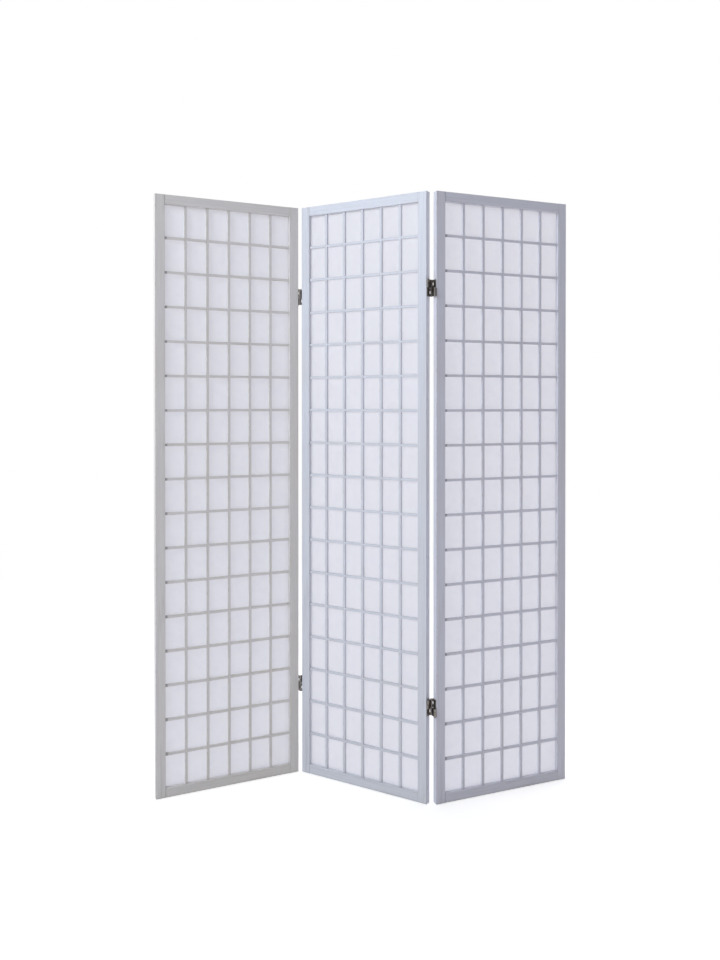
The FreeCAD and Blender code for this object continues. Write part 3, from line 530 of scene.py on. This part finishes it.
# %% The metal recipes
def antique_metal(name, stain):
    """Blackened plate, rubbed bright on its edges; a lower stain leaves more of it bright."""
    material, tree = new_material(name)
    point = millimetres(tree)
    patches = add_node(tree, "TexNoise", {"Vector": point, "Scale": 1 / PATCH_SIZE, "Detail": 4})
    specks = add_node(tree, "TexNoise", {"Vector": point, "Scale": 1 / SPECK_SIZE, "Detail": 3})
    patch = add_node(tree, "MapRange", {"Value": patches, "From Min": 0.35, "From Max": 0.7}, **SMOOTH)
    speck = add_node(tree, "MapRange", {
        "Value": specks, "From Min": stain, "From Max": 0.8, "To Max": 0.7}, **SMOOTH)
    edge = add_node(tree, "Math", {0: edge_share(tree), 1: MOST_RUBBED}, operation="MULTIPLY")
    rubbed = add_node(tree, "Math", {0: edge, 1: speck}, operation="MAXIMUM")
    colour = layered(tree, linear(BLACKENED), [(patch, BRONZE), (rubbed, PEWTER)])
    rough = add_node(tree, "MapRange", {
        "Value": specks, "From Min": 0.3, "From Max": 0.75, "To Min": 0.3, "To Max": 0.55}, **SMOOTH)
    bump = add_node(tree, "Bump", {"Height": specks, "Strength": 0.4, "Distance": 0.00008})
    shader = add_node(tree, "BsdfPrincipled", {
        "Base Color": colour, "Metallic": 1.0, "Roughness": rough, "Normal": bump})
    add_node(tree, "OutputMaterial", {"Surface": shader})
    return material


def turned_metal(name, colour, dull, rough_low, rough_high):
    """Drawn or turned wire metal with fine scratches along it and tarnish."""
    material, tree = new_material(name)
    point = millimetres(tree)
    running = add_node(tree, "Mapping", {"Vector": point, "Scale": drawn_out("Z", 8)})
    scratches = add_node(tree, "TexNoise", {"Vector": running, "Scale": 1 / SCRATCH_WIDTH, "Detail": 3})
    spots = add_node(tree, "TexNoise", {"Vector": point, "Scale": 1 / TARNISH_SPOT, "Detail": 3})
    tarnish = add_node(tree, "MapRange", {
        "Value": spots, "From Min": 0.4, "From Max": 0.75, "To Max": 0.7}, **SMOOTH)
    tint = layered(tree, linear(colour), [(tarnish, dull)])
    rough = add_node(tree, "MapRange", {
        "Value": scratches, "From Min": 0.3, "From Max": 0.7,
        "To Min": rough_low, "To Max": rough_high}, **SMOOTH)
    bump = add_node(tree, "Bump", {"Height": scratches, "Strength": 0.3, "Distance": 0.00005})
    shader = add_node(tree, "BsdfPrincipled", {
        "Base Color": tint, "Metallic": 1.0, "Roughness": rough, "Normal": bump})
    add_node(tree, "OutputMaterial", {"Surface": shader})
    return material


leaf_metal = antique_metal("antique_plated_steel_leaves", LEAF_STAIN)
link_metal = antique_metal("antique_plated_steel_links", LINK_STAIN)
pin_metal = turned_metal("drawn_steel_pins", PLAIN_STEEL, BRONZE, 0.25, 0.45)
screw_metal = turned_metal("blackened_screws", NICKEL, BLACKENED, 0.35, 0.5)
nail_metal = turned_metal("bright_steel_brads", PLAIN_STEEL, PAINT_RUBBED, 0.3, 0.5)
print("metals:", leaf_metal.name, link_metal.name, pin_metal.name, screw_metal.name, nail_metal.name)

# %% [markdown]
# ## Bare beech
# The dowels that hold the corner joints are beech, left unpainted inside the wood.  Beech is pale
# brown with a fine even grain along the dowel and short dark rays, which a stretched noise and a
# sharper, shorter one give.

# %% Bare wood of the dowels
BEECH_LIGHT, BEECH_DARK = "#D6B48A", "#B98F62"
BEECH_GRAIN, BEECH_RAY = 0.9, 0.4       # mm across


def bare_beech(side):
    """Unpainted beech with short dark rays."""
    material, tree = new_material(f"bare_beech_{side}_dowels")
    point = panel_millimetres(tree, side)
    fibres = add_node(tree, "Mapping", {"Vector": point, "Scale": drawn_out("X", 18)})
    grain = add_node(tree, "TexNoise", {"Vector": fibres, "Scale": 1 / BEECH_GRAIN, "Detail": 4})
    flecks = add_node(tree, "Mapping", {"Vector": point, "Scale": drawn_out("X", 6)})
    rays = add_node(tree, "TexNoise", {"Vector": flecks, "Scale": 1 / BEECH_RAY, "Detail": 1})
    ray = add_node(tree, "MapRange", {
        "Value": rays, "From Min": 0.62, "From Max": 0.7, "To Max": 0.5}, **SMOOTH)
    colour = layered(tree, linear(BEECH_LIGHT), [(grain, BEECH_DARK), (ray, BEECH_DARK)])
    rough = add_node(tree, "MapRange", {
        "Value": grain, "From Min": 0.3, "From Max": 0.7, "To Min": 0.6, "To Max": 0.75}, **SMOOTH)
    bump = add_node(tree, "Bump", {"Height": grain, "Strength": 0.4, "Distance": 0.0001})
    shader = add_node(tree, "BsdfPrincipled", {
        "Base Color": colour, "Roughness": rough, "IOR": PAINT_IOR, "Normal": bump})
    add_node(tree, "OutputMaterial", {"Surface": shader})
    return material


print("beech grain", BEECH_GRAIN, "mm across")

# %% [markdown]
# ## Which small part gets which metal
# Leaves and links come out of the same bath, but the links rub against the leaves and the leaves
# are handled more, so each has a finish of its own.  Pins, screws and brads are bought in.

# %% Give the small parts their finishes
for side in HEADINGS:
    paint(f"{side}_panel_dowels", bare_beech(side))
    paint(f"{side}_panel_brads", nail_metal)
for side in ("left", "right"):
    for level in ("top", "bottom"):
        for leaf in ("outer_leaf", "centre_leaf"):
            paint(f"{side}_{level}_hinge_{leaf}", leaf_metal)
        for link in ("upper_link", "lower_link"):
            paint(f"{side}_{level}_hinge_{link}", link_metal)
    for pins in ("upper_link_pins", "lower_link_pins", "open_pin_ends"):
        paint(f"{side}_{pins}", pin_metal)
    for screws in ("outer_leaf_screws", "centre_leaf_screws"):
        paint(f"{side}_{screws}", screw_metal)
print("finished the hinges")

# %% [markdown]
# ## The studio floor
# A pale studio has a floor that runs into its backdrop with no line between them.  Here it is one
# large plane: matt near the screen, so that soft shadows fall on it, and fading with distance to
# the backdrop's white.  A little glow lifts it to a clean white for the camera.

# %% Floor
FLOOR_SIZE = 30.0                 # metres
FLOOR_DROP = 0.0005               # metres below the feet, so that the two don't share a plane
FLOOR_WHITE = (0.9, 0.89, 0.88, 1)
WHITE = (1, 1, 1, 1)
FLOOR_GLOW = 0.46                 # lifts the floor that the camera sees to a clean white
FLOOR_BOUNCE = 0.16               # and what the screen gets of it, so that the low rails stay light
GLOW_COLOUR = (1, 0.99, 0.96, 1)
FADE_START, FADE_END = 1.2, 4.0   # metres from the screen over which it runs into the backdrop
bpy.ops.object.select_all(action="DESELECT")
bpy.ops.mesh.primitive_plane_add(size=FLOOR_SIZE, location=(0, 0, -FLOOR_DROP))
floor = bpy.context.object
floor.name = "studio_floor"
floor_paint, tree = new_material("pale_studio_floor")
spot = add_node(tree, "TexCoord", output="Object")
away = add_node(tree, "VectorMath", {0: spot}, "Value", operation="LENGTH")
seen = add_node(tree, "LightPath", output="Is Camera Ray")
fade = add_node(tree, "MapRange", {
    "Value": away, "From Min": FADE_START, "From Max": FADE_END}, **SMOOTH)
far_share = add_node(tree, "Math", {0: fade, 1: seen}, operation="MULTIPLY")
glow_strength = add_node(tree, "Math", {
    0: seen, 1: FLOOR_GLOW - FLOOR_BOUNCE, 2: FLOOR_BOUNCE}, operation="MULTIPLY_ADD")
matt = add_node(tree, "BsdfDiffuse", {"Color": FLOOR_WHITE})
glow = add_node(tree, "Emission", {"Color": GLOW_COLOUR, "Strength": glow_strength})
near_floor = add_node(tree, "AddShader", {0: matt, 1: glow})
far_floor = add_node(tree, "Emission", {"Color": WHITE, "Strength": 1.0})
whole_floor = add_node(tree, "MixShader", {0: far_share, 1: near_floor, 2: far_floor})
add_node(tree, "OutputMaterial", {"Surface": whole_floor})
floor.data.materials.append(floor_paint)
print("floor", FLOOR_SIZE, "m across")

# %% [markdown]
# ## Light
# Paper glows when there is more light behind it than in front.  So the room is bright towards the
# back and dim in front, a little brighter on the side where the window is, and one soft bluish
# window high on the left gives the middle panel its cooler face, helped by the painted-light tint
# of its paint.  The camera sees plain white.

# %% Room light
ROOM_LEFT = (0.41, 0.397, 0.402)      # the window's side of the room, in front of the screen
ROOM_RIGHT = (0.112, 0.104, 0.111)    # the far side of the room
BACKDROP_LOW = (1.37, 1.30, 1.21)
BACKDROP_HIGH = (1.41, 1.46, 1.72)
world = bpy.data.worlds.new("studio_room")
world.use_nodes = True
tree = world.node_tree
tree.nodes.clear()
way = add_node(tree, "TexCoord", output="Generated")
heading = add_node(tree, "SeparateXYZ", {0: way}).node.outputs
rightwards = add_node(tree, "MapRange", {
    "Value": heading["X"], "From Min": -0.8, "From Max": 0.8}, **SMOOTH)
upwards = add_node(tree, "MapRange", {
    "Value": heading["Z"], "From Min": -0.1, "From Max": 0.7}, **SMOOTH)
backwards = add_node(tree, "MapRange", {
    "Value": heading["Y"], "From Min": -0.2, "From Max": 0.7}, **SMOOTH)
front = add_node(tree, "Mix", {0: rightwards, 6: [*ROOM_LEFT, 1], 7: [*ROOM_RIGHT, 1]}, 2,
                 data_type="RGBA")
back = add_node(tree, "Mix", {0: upwards, 6: [*BACKDROP_LOW, 1], 7: [*BACKDROP_HIGH, 1]}, 2,
                data_type="RGBA")
light_colour = add_node(tree, "Mix", {0: backwards, 6: front, 7: back}, 2, data_type="RGBA")
seen = add_node(tree, "LightPath", output="Is Camera Ray")
room_colour = add_node(tree, "Mix", {0: seen, 6: light_colour, 7: WHITE}, 2, data_type="RGBA")
room = add_node(tree, "Background", {"Color": room_colour, "Strength": 1.0})
add_node(tree, "OutputWorld", {"Surface": room})
bpy.context.scene.world = world
print("room light from", ROOM_RIGHT, "to", BACKDROP_HIGH)

# %% The window
WINDOW_PLACE = Vector((-2.0, -1.8, 2.9))
WINDOW_AIM = Vector((-0.1, 0.0, 1.2))
WINDOW_SIZE = (0.9, 1.1)              # metres
WINDOW_POWER = 50.0                   # watts
WINDOW_COLOUR = (0.84, 0.93, 1.0)
window = bpy.data.lights.new("soft_window", "AREA")
window.shape = "RECTANGLE"
window.size, window.size_y = WINDOW_SIZE
window.energy = WINDOW_POWER
window.color = WINDOW_COLOUR
window_object = bpy.data.objects.new("soft_window", window)
window_object.location = WINDOW_PLACE
window_object.rotation_euler = (WINDOW_AIM - WINDOW_PLACE).to_track_quat("-Z", "Y").to_euler()
bpy.context.scene.collection.objects.link(window_object)
print("window", round((WINDOW_AIM - WINDOW_PLACE).length, 2), "m from the screen")

# %% [markdown]
# ## Camera
# The camera stands a little under three metres away, at chest height, and looks almost straight
# ahead, so that upright edges stay upright.  A small lens shift frames the screen in place of a
# tilt.

# %% Camera
CAMERA_PLACE = (0.02998, -2.66213, 1.14942)
CAMERA_DOWN, CAMERA_RIGHT = 0.0079, 0.0131    # radians
CAMERA_LENS, CAMERA_SENSOR = 33.45, 36.0      # mm
CAMERA_SHIFT = (-0.0275, -0.0738)             # as shares of the sensor
camera = bpy.data.cameras.new("camera")
camera.lens, camera.sensor_width = CAMERA_LENS, CAMERA_SENSOR
camera.shift_x, camera.shift_y = CAMERA_SHIFT
camera_object = bpy.data.objects.new("camera", camera)
camera_object.location = CAMERA_PLACE
camera_object.rotation_euler = (math.pi / 2 - CAMERA_DOWN, 0, -CAMERA_RIGHT)
bpy.context.scene.collection.objects.link(camera_object)
bpy.context.scene.camera = camera_object
bpy.context.scene.view_settings.view_transform = "Standard"
print("camera", round(Vector(CAMERA_PLACE).length, 2), "m from the middle of the floor")
